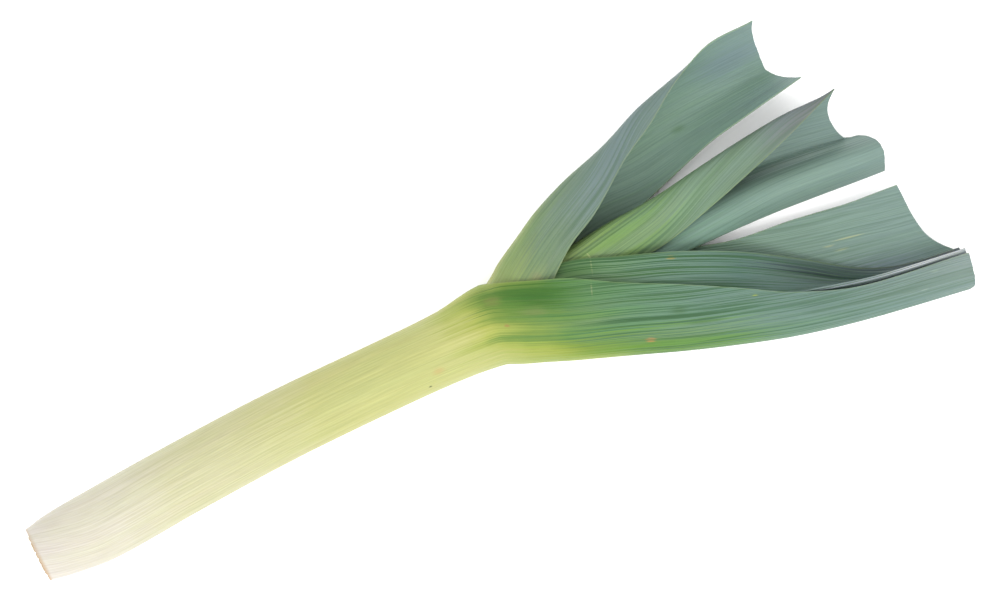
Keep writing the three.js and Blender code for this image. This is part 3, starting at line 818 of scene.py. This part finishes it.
class LeekColourSettings(bpy.types.PropertyGroup):
    streak: bpy.props.FloatVectorProperty(
        name="Streaks", description="Dark green between a blade's veins", subtype="COLOR",
        default=linear("3c6a3a", 1 / STAGE_LIGHT),
    )
    bloom: bpy.props.FloatVectorProperty(
        name="Bloom", description="The wax's own tint where it is thick", subtype="COLOR",
        default=linear("8398a0", 1 / STAGE_LIGHT),
    )
    margin: bpy.props.FloatVectorProperty(
        name="Margins", description="The thin pale edge of a blade", subtype="COLOR",
        default=linear("b4c884", 1 / STAGE_LIGHT),
    )
    dried: bpy.props.FloatVectorProperty(
        name="Dried cut", description="The dried rim of the root cut", subtype="COLOR",
        default=linear("d2a878", 1 / STAGE_LIGHT),
    )


class LeekStageSettings(bpy.types.PropertyGroup):
    paper: bpy.props.FloatVectorProperty(
        name="Floor", description="Colour of the floor's paper", subtype="COLOR", default=linear("fbfbfb"),
    )
    sky: bpy.props.FloatProperty(
        name="Fill light", description="Strength of the light all round", default=2.0,
    )
    key: bpy.props.FloatProperty(
        name="Key light", description="Power of the large soft light", default=21, unit="POWER",
    )
    camera_height: bpy.props.FloatProperty(
        name="Camera height", description="Camera above the floor", default=2.415, unit="LENGTH",
    )
    focal_length: bpy.props.FloatProperty(name="Focal length", description="In millimetres", default=172.8)
    roll: bpy.props.FloatProperty(
        name="Camera roll", description="Turn of the camera about its view",
        default=math.radians(-26), subtype="ANGLE",
    )


# --------------------------------------------------------------------------------------------------
# Operators
# --------------------------------------------------------------------------------------------------


class LEEK_OT_leaves(bpy.types.Operator):
    """Makes the four whole leaves, each one a sheath round the shaft and a folded blade"""

    bl_idname = "leek.leaves"
    bl_label = "Leaves"

    def execute(self, context):
        settings, colours = context.scene.leek_leaves, context.scene.leek_colours
        for seed, (name, leaf) in enumerate(ALL_LEAVES.items()):
            outer, inner, closed, uv, rim = leaf_faces(leaf, settings, seed + 1)
            skin(name, outer, inner, closed, uv, rim, waxy_leaf(name, colours, LOOKS[name], MARKS[name]))
        return {"FINISHED"}


class LEEK_OT_heart(bpy.types.Operator):
    """Makes the rolled youngest leaves in the middle of the shaft"""

    bl_idname = "leek.heart"
    bl_label = "Heart"

    def execute(self, context):
        depth = len(LEAVES) * LAYER
        x, y, r = SHAFT.T
        tip = np.array(HEART_TIP)
        knots = np.r_[x, tip[:, 0]]
        table = np.concatenate([
            np.stack([y, r - depth, r - depth, np.minimum(r, UNDERSIDE) - depth], -1),
            tip[:, 1:],
        ])
        at, angle = np.meshgrid(
            np.linspace(LEAF_START, knots[-1], HEART_ROWS),
            np.linspace(0, 2 * np.pi, HEART_COLUMNS + 1),
            indexing="ij",
        )
        # Round the axis from the lower side; the rolled edge is a step that winds slowly along the heart.
        place, width, top, bottom = np.moveaxis(spline(knots, table, at), -1, 0)
        turn = (angle / (2 * np.pi) + at / HEART_WINDING) % 1
        roll = 1 - 0.05 * smooth(turn, 0, 0.9) * (1 - smooth(turn, 0.93, 1))
        height = np.where(np.sin(angle) > 0, top, bottom) * roll
        y = place - width * roll * np.cos(angle)
        points = lean(np.stack([at, y, AXIS_HEIGHT + height * np.sin(angle)], -1), at)
        ids = np.arange(at.size).reshape(at.shape)
        ids[:, -1] = ids[:, 0]
        uv = np.stack([angle * width.max() * 2, at], -1)
        rounded_solid("heart_leaf", points, ids, uv, 0 * at, young_leaf())
        return {"FINISHED"}


class LEEK_OT_root_plate(bpy.types.Operator):
    """Makes the cut disc that the leaves grow from, with the stubs of its roots"""

    bl_idname = "leek.root_plate"
    bl_label = "Root plate"

    def execute(self, context):
        rng = np.random.default_rng(7)
        # A path from the middle of the cut face over its rim to the back: (distance along, share of radius).
        path = np.array([
            (0, 0), (0, 0.25), (0, 0.5), (0, 0.75), (0, 0.94), (0.35, 0.985), (1, 1), (3, 1),
            (ROOT_PLATE_THICKNESS, 1),
        ])
        steps = np.linspace(0, len(path) - 1, 97)
        depth, share = spline(np.arange(len(path)), path, steps).T
        depth = np.clip(depth, 0, ROOT_PLATE_THICKNESS)
        angle = np.linspace(0, 2 * np.pi, 145)
        radius = spline(SHAFT[:, 0], SHAFT[:, 2], depth) - LAYER
        y = (share * radius)[:, None] * np.cos(angle)
        z = (share * radius)[:, None] * np.sin(angle)
        x = np.repeat(depth[:, None], len(angle), 1)
        # The stubs: round knolls in three rough circles, each a flat-topped bell curve of the distance from
        # its own middle.
        stub = np.zeros_like(x)
        for circle, count in STUB_CIRCLES:
            place = (np.arange(count) + rng.uniform(-0.25, 0.25, count)) * 2 * np.pi / count
            far = radius[0] * (circle + rng.uniform(-0.05, 0.05, count))
            gap = np.hypot(y[..., None] - far * np.cos(place), z[..., None] - far * np.sin(place))
            stub = np.maximum(stub, np.exp(-(gap / STUB_RADIUS) ** 4).max(-1))
        face = share[:, None] < 0.95
        bulge = CUT_BULGE * np.cos(share[:, None] * np.pi / 2)
        x = np.where(face, x - STUB_HEIGHT * stub - bulge, x)
        points = lean(np.stack([x, SHAFT[0, 1] + y, AXIS_HEIGHT + z], -1), np.maximum(x, 0))
        ids = np.arange(x.size).reshape(x.shape)
        ids[:, -1] = ids[:, 0]
        ids[0] = ids[0, 0]
        uv = np.stack([y, z], -1)
        rounded_solid("root_plate", points, ids, uv, stub * face, cut_root())
        return {"FINISHED"}


def rounded_solid(name, points, ids, uv, side, material):
    """A closed piece from a tube of rings, each ring's last column its first one, with a flat cap of
    triangles at an end that isn't already one point."""
    quads = cells(ids)
    corners = cells(np.arange(ids.size).reshape(ids.shape))
    points, uv, side = points.reshape(-1, 3), uv.reshape(-1, 2), side.ravel()
    for ring_ids, turned in ((ids[0], True), (ids[-1], False)):
        if len(set(ring_ids)) == 1:
            continue
        middle = len(points)
        points = np.concatenate([points, points[ring_ids[:-1]].mean(0, keepdims=True)])
        uv = np.concatenate([uv, uv[ring_ids[:-1]].mean(0, keepdims=True)])
        side = np.r_[side, 0]
        a, b = (ring_ids[:-1], ring_ids[1:]) if turned else (ring_ids[1:], ring_ids[:-1])
        cap = np.stack([a, b, np.full(len(a), middle), np.full(len(a), -1)], -1)
        quads, corners = np.concatenate([quads, cap]), np.concatenate([corners, cap])
    pole = quads[:, 0] == quads[:, 3]
    quads[pole], corners[pole] = quads[pole][:, [0, 1, 2, 2]], corners[pole][:, [0, 1, 2, 2]]
    quads[pole, 3] = corners[pole, 3] = -1
    used, quads = np.unique(quads, return_inverse=True)
    quads = quads.reshape(-1, 4)
    if used[0] == -1:
        used, quads = used[1:], quads - 1
    return piece(name, points[used], quads, uv[corners], {"face": side[used]}, material)


class LEEK_OT_stage(bpy.types.Operator):
    """Makes the pale floor, the soft lights and the camera, which looks straight down on the leek"""

    bl_idname = "leek.stage"
    bl_label = "Stage"

    def execute(self, context):
        settings = context.scene.leek_stage
        low, high = CAD_BOX
        middle = (low + high) / 2

        side = np.linspace(-FLOOR_SIZE / 2, FLOOR_SIZE / 2, 9)
        x, y = np.meshgrid(side, side, indexing="ij")
        points = np.stack([x, y, np.zeros_like(x)], -1).reshape(-1, 3)
        ids = np.arange(x.size).reshape(x.shape)
        mesh = bpy.data.meshes.new("floor")
        mesh.from_pydata(points.tolist(), [], cells(ids).tolist())
        mesh.materials.append(matt_paper(settings.paper))
        floor = bpy.data.objects.new("floor", mesh)
        context.scene.collection.objects.link(floor)

        world = bpy.data.worlds.new("studio")
        world.use_nodes = True
        world.node_tree.nodes["Background"].inputs["Color"].default_value = (1, 1, 1, 1)
        world.node_tree.nodes["Background"].inputs["Strength"].default_value = settings.sky
        context.scene.world = world

        light = bpy.data.lights.new("key", "AREA")
        light.shape = "RECTANGLE"
        light.size, light.size_y = KEY_SIZE
        light.energy = settings.key
        key = bpy.data.objects.new("key", light)
        key.location = middle + Vector(KEY_PLACE)
        key.rotation_euler = (middle - key.location).to_track_quat("-Z", "Y").to_euler()
        context.scene.collection.objects.link(key)

        camera = bpy.data.objects.new("camera", bpy.data.cameras.new("camera"))
        camera.data.lens, camera.data.sensor_width = settings.focal_length, 36
        camera.location = (middle.x + VIEW_SHIFT[0], middle.y + VIEW_SHIFT[1], low.z + settings.camera_height)
        camera.rotation_euler = (0, 0, settings.roll)
        context.scene.collection.objects.link(camera)
        context.scene.camera = camera
        context.scene.view_settings.view_transform = "Standard"
        return {"FINISHED"}


class LEEK_PT_panel(bpy.types.Panel):
    bl_idname = "LEEK_PT_panel"
    bl_label = "Leek"
    bl_space_type = "VIEW_3D"
    bl_region_type = "UI"
    bl_category = "Leek"

    def draw(self, context):
        for operator in OPERATORS:
            self.layout.operator(operator.bl_idname)


OPERATORS = (LEEK_OT_leaves, LEEK_OT_heart, LEEK_OT_root_plate, LEEK_OT_stage)
SETTINGS = {
    "leek_leaves": LeekLeafSettings,
    "leek_colours": LeekColourSettings,
    "leek_stage": LeekStageSettings,
}


def register():
    for cls in (*SETTINGS.values(), *OPERATORS, LEEK_PT_panel):
        bpy.utils.register_class(cls)
    for name, group in SETTINGS.items():
        setattr(bpy.types.Scene, name, bpy.props.PointerProperty(type=group))


def unregister():
    for name in SETTINGS:
        delattr(bpy.types.Scene, name)
    for cls in reversed((*SETTINGS.values(), *OPERATORS, LEEK_PT_panel)):
        bpy.utils.unregister_class(cls)


def main():
    register()
    bpy.ops.leek.leaves()
    bpy.ops.leek.heart()
    bpy.ops.leek.root_plate()
    bpy.ops.leek.stage()


if __name__ == "__main__":
    main()
